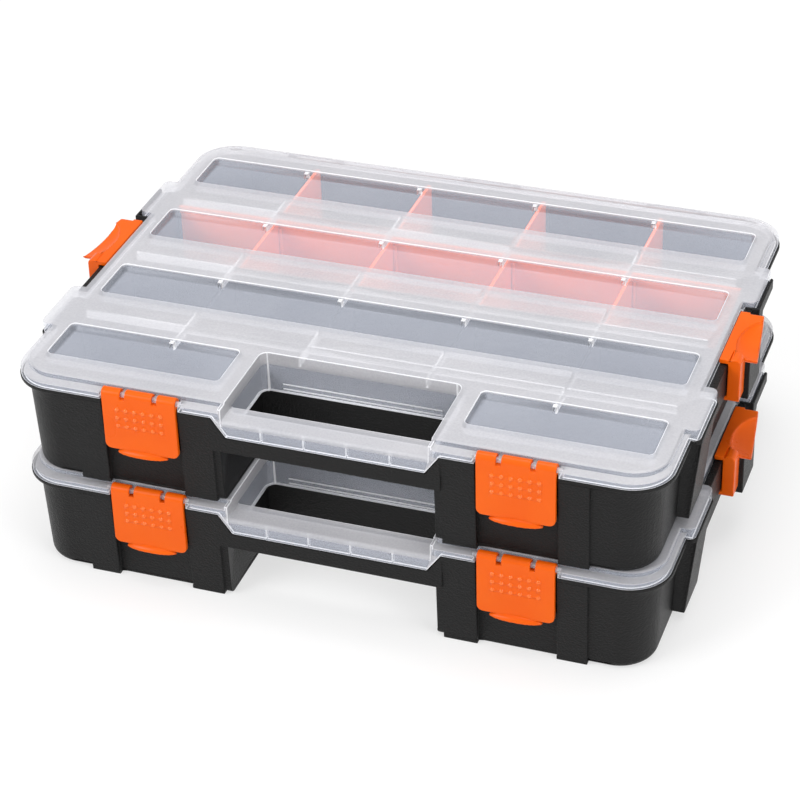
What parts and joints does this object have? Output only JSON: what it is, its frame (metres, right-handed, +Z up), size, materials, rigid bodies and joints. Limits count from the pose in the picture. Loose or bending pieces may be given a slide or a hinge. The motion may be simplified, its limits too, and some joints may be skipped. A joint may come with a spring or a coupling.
{
  "type": "small parts organizer",
  "caption": "Stacked flat organizer cases with see-through lids, divided trays, front carry handles, snap latches and sliding side clips.",
  "frame": {"origin": "middle of the bounding box's underside, on the surface the lower case stands on", "axes": "+X along the long side to the viewer's right when facing the handles, +Y from the handles towards the rear hinge, +Z up"},
  "size_m": [0.3402, 0.256, 0.1064],
  "materials": {
    "black_plastic": "fine textured matte",
    "frosted_plastic": "milky see-through, smooth",
    "orange_plastic": "satin"
  },
  "bodies": {
    "lower_base": {"lower_base": "black_plastic", "lower_floor": "black_plastic", "lower_rear_wall": "black_plastic", "lower_front_row_wall": "black_plastic", "lower_middle_row_wall": "black_plastic", "lower_column_wall_1": "black_plastic", "lower_column_wall_2": "black_plastic", "lower_column_wall_3": "black_plastic", "lower_column_wall_4": "black_plastic", "lower_long_divider": "orange_plastic", "lower_middle_divider_1": "orange_plastic", "lower_middle_divider_2": "orange_plastic", "lower_middle_divider_3": "orange_plastic", "lower_middle_divider_4": "orange_plastic", "lower_back_divider_1": "orange_plastic", "lower_back_divider_2": "orange_plastic", "lower_back_divider_3": "orange_plastic", "lower_back_divider_4": "orange_plastic"},
    "lower_lid": {"lower_lid": "frosted_plastic"},
    "lower_latch_left": {"lower_latch_left": "orange_plastic"},
    "lower_latch_right": {"lower_latch_right": "orange_plastic"},
    "lower_clip_left": {"lower_clip_left": "orange_plastic"},
    "lower_clip_right": {"lower_clip_right": "orange_plastic"},
    "upper_base": {"upper_base": "black_plastic", "upper_floor": "black_plastic", "upper_rear_wall": "black_plastic", "upper_front_row_wall": "black_plastic", "upper_middle_row_wall": "black_plastic", "upper_column_wall_1": "black_plastic", "upper_column_wall_2": "black_plastic", "upper_column_wall_3": "black_plastic", "upper_column_wall_4": "black_plastic", "upper_long_divider": "orange_plastic", "upper_middle_divider_1": "orange_plastic", "upper_middle_divider_2": "orange_plastic", "upper_middle_divider_3": "orange_plastic", "upper_middle_divider_4": "orange_plastic", "upper_back_divider_1": "orange_plastic", "upper_back_divider_2": "orange_plastic", "upper_back_divider_3": "orange_plastic", "upper_back_divider_4": "orange_plastic"},
    "upper_lid": {"upper_lid": "frosted_plastic"},
    "upper_latch_left": {"upper_latch_left": "orange_plastic"},
    "upper_latch_right": {"upper_latch_right": "orange_plastic"},
    "upper_clip_left": {"upper_clip_left": "orange_plastic"},
    "upper_clip_right": {"upper_clip_right": "orange_plastic"}
  },
  "joints": [
    {"name": "lower_lid_hinge", "type": "hinge", "parent": "lower_base", "child": "lower_lid", "pos_m": [0, 0.125, 0.0444], "axis": [-1, 0, 0], "range_deg": [0, 110]},
    {"name": "lower_latch_left_hinge", "type": "hinge", "parent": "lower_lid", "child": "lower_latch_left", "pos_m": [-0.0892, -0.123, 0.0502], "axis": [-1, 0, 0], "range_deg": [0, 110]},
    {"name": "lower_clip_left_slide", "type": "slide", "parent": "lower_base", "child": "lower_clip_left", "axis": [0, -1, 0], "range_m": [0, 0.02]},
    {"name": "lower_latch_right_hinge", "type": "hinge", "parent": "lower_lid", "child": "lower_latch_right", "pos_m": [0.0892, -0.123, 0.0502], "axis": [-1, 0, 0], "range_deg": [0, 110]},
    {"name": "lower_clip_right_slide", "type": "slide", "parent": "lower_base", "child": "lower_clip_right", "axis": [0, -1, 0], "range_m": [0, 0.02]},
    {"name": "upper_case_lift", "type": "slide", "parent": "lower_lid", "child": "upper_base", "axis": [0, 0, 1], "range_m": [0, 0.08]},
    {"name": "upper_lid_hinge", "type": "hinge", "parent": "upper_base", "child": "upper_lid", "pos_m": [0, 0.125, 0.0976], "axis": [-1, 0, 0], "range_deg": [0, 110]},
    {"name": "upper_latch_left_hinge", "type": "hinge", "parent": "upper_lid", "child": "upper_latch_left", "pos_m": [-0.0892, -0.123, 0.1034], "axis": [-1, 0, 0], "range_deg": [0, 110]},
    {"name": "upper_clip_left_slide", "type": "slide", "parent": "upper_base", "child": "upper_clip_left", "axis": [0, -1, 0], "range_m": [0, 0.02]},
    {"name": "upper_latch_right_hinge", "type": "hinge", "parent": "upper_lid", "child": "upper_latch_right", "pos_m": [0.0892, -0.123, 0.1034], "axis": [-1, 0, 0], "range_deg": [0, 110]},
    {"name": "upper_clip_right_slide", "type": "slide", "parent": "upper_base", "child": "upper_clip_right", "axis": [0, -1, 0], "range_m": [0, 0.02]}
  ]
}
